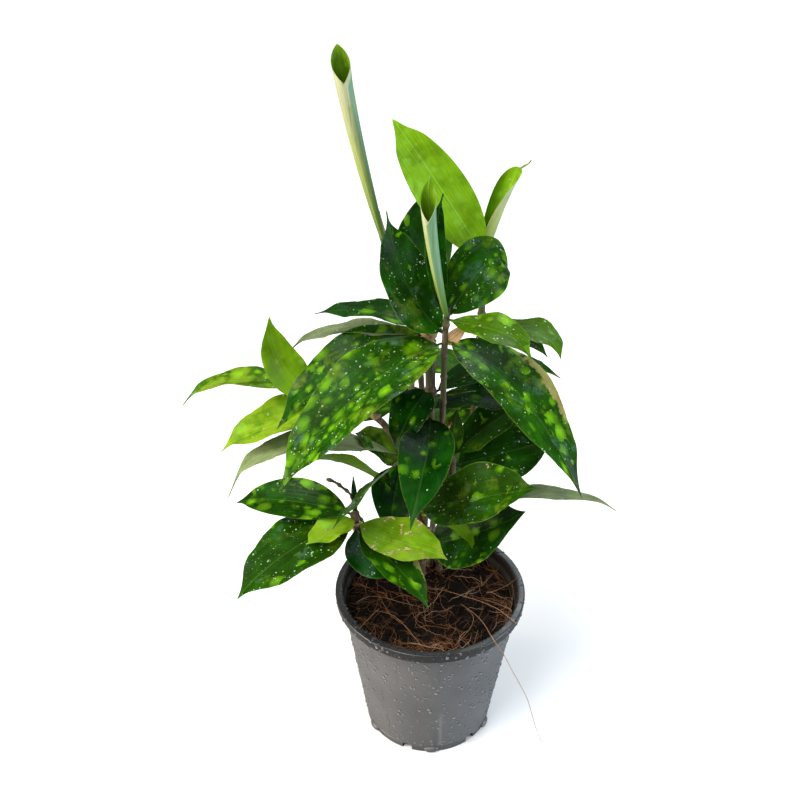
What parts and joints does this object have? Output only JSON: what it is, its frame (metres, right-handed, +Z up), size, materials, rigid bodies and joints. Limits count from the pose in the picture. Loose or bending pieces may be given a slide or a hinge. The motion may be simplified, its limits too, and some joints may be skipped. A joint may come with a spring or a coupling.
{
  "type": "potted foliage plant",
  "caption": "Gold dust dracaena with spotted green leaves on thin canes, growing in a tapered grey plastic nursery pot of dark potting mix.",
  "frame": {"origin": "middle of the flat pad under the pot, on the surface that the pot stands on", "axes": "+Z up, along the pot's axis; -Y is the front of the plant, as the picture shows it; +X is to its right"},
  "size_m": [0.2607, 0.2168, 0.4333],
  "materials": {
    "pot_plastic": "satin grey moulded plastic, wet with drops",
    "potting_mix": "damp dark peat with coir fibres",
    "leaf_green": "waxy deep green leaves with yellow-green spots, wet in places"
  },
  "bodies": {
    "root": {"pot": "pot_plastic", "soil": "potting_mix", "leafy_stem_centre": "leaf_green", "leafy_stem_thick": "leaf_green", "leafy_stem_back_right": "leaf_green", "leafy_stem_tall_left": "leaf_green", "leafy_stem_left": "leaf_green", "leafy_stem_front_left": "leaf_green", "leafy_stem_right": "leaf_green", "leafy_stem_front": "leaf_green", "leafy_stem_back": "leaf_green", "leafy_stem_back_tall": "leaf_green"}
  },
  "joints": []
}
